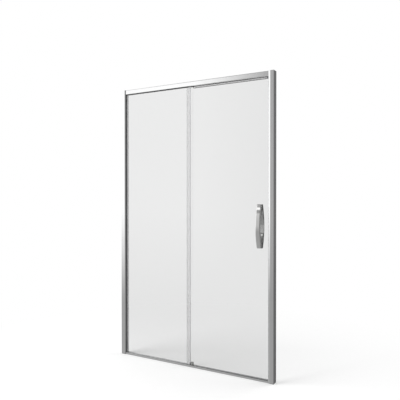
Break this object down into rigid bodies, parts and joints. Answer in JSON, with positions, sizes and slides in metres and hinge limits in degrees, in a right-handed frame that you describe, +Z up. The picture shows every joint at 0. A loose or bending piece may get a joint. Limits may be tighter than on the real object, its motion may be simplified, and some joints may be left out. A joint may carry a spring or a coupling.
{
  "type": "sliding shower door",
  "caption": "Framed shower door for a recess: a fixed clear pane and a clear sliding pane with bow handles, hung on rollers in a slim bright header.",
  "frame": {"origin": "middle of the sill's underside, on the mid-plane of the frame", "axes": "+X to the right seen from outside, +Y from outside into the shower, +Z up"},
  "size_m": [1.2, 0.08, 1.95],
  "materials": {
    "bright_aluminium": "brightly polished and anodised",
    "chrome": "polished",
    "clear_glass": "clear, toughened, ground edges",
    "clear_seal": "translucent soft strip",
    "grey_rubber": "matt",
    "grey_plastic": "fine matt moulding",
    "clear_plastic": "clear moulding",
    "white_nylon": "smooth moulding",
    "stainless_steel": "satin"
  },
  "bodies": {
    "frame": {"wall_channel_left": "bright_aluminium", "wall_channel_right": "bright_aluminium", "frame_post_left": "bright_aluminium", "frame_post_right": "bright_aluminium", "post_cap_left": "bright_aluminium", "post_cap_right": "bright_aluminium", "header_rail": "bright_aluminium", "sill_rail": "bright_aluminium", "screw_covers_left": "chrome", "screw_covers_right": "chrome", "fixed_glass": "clear_glass", "fixed_edge_seal": "clear_seal", "gasket_fixed_side": "grey_rubber", "gasket_fixed_top": "grey_rubber", "gasket_fixed_bottom": "grey_rubber", "filler_header": "grey_rubber", "filler_sill": "grey_rubber", "filler_post_left": "grey_rubber", "filler_post_right": "grey_rubber", "stop_buffers": "grey_rubber", "post_magnet_seal": "grey_rubber", "sill_guide": "grey_plastic", "door_stop_left": "grey_plastic", "door_stop_right": "grey_plastic", "post_screws_left": "stainless_steel", "post_screws_right": "stainless_steel", "header_screws": "stainless_steel", "sill_screws": "stainless_steel", "guide_screw": "stainless_steel", "stop_screws": "stainless_steel"},
    "door": {"door_glass": "clear_glass", "door_edge_seal": "clear_seal", "door_magnet_seal": "clear_seal", "hanger_rail": "bright_aluminium", "hanger_gasket": "grey_rubber", "hanger_cap_left": "grey_plastic", "hanger_cap_right": "grey_plastic", "roller_bracket_left": "stainless_steel", "roller_bracket_right": "stainless_steel", "bracket_screws": "stainless_steel", "wheel_axles": "stainless_steel", "outer_handle": "chrome", "inner_handle": "chrome", "handle_washers": "clear_plastic", "handle_bushes": "clear_plastic", "handle_studs": "stainless_steel"},
    "wheel_1": {"wheel_tyre_1": "white_nylon", "wheel_bearing_1": "stainless_steel"},
    "wheel_2": {"wheel_tyre_2": "white_nylon", "wheel_bearing_2": "stainless_steel"},
    "wheel_3": {"wheel_tyre_3": "white_nylon", "wheel_bearing_3": "stainless_steel"},
    "wheel_4": {"wheel_tyre_4": "white_nylon", "wheel_bearing_4": "stainless_steel"}
  },
  "joints": [
    {"name": "door_slide", "type": "slide", "parent": "frame", "child": "door", "axis": [-1, 0, 0], "range_m": [0, 0.47]},
    {"name": "wheel_1_spin", "type": "hinge", "parent": "door", "child": "wheel_1", "pos_m": [0.042, 0.01635, 1.9325], "axis": [0, 1, 0], "range_deg": [-3140, 0]},
    {"name": "wheel_2_spin", "type": "hinge", "parent": "door", "child": "wheel_2", "pos_m": [0.086, 0.01635, 1.9325], "axis": [0, 1, 0], "range_deg": [-3140, 0]},
    {"name": "wheel_3_spin", "type": "hinge", "parent": "door", "child": "wheel_3", "pos_m": [0.467, 0.01635, 1.9325], "axis": [0, 1, 0], "range_deg": [-3140, 0]},
    {"name": "wheel_4_spin", "type": "hinge", "parent": "door", "child": "wheel_4", "pos_m": [0.511, 0.01635, 1.9325], "axis": [0, 1, 0], "range_deg": [-3140, 0]}
  ],
  "couplings": [
    {"joint": "wheel_1_spin", "follows": "door_slide", "rad_per_m": -116.28},
    {"joint": "wheel_2_spin", "follows": "door_slide", "rad_per_m": -116.28},
    {"joint": "wheel_3_spin", "follows": "door_slide", "rad_per_m": -116.28},
    {"joint": "wheel_4_spin", "follows": "door_slide", "rad_per_m": -116.28}
  ]
}
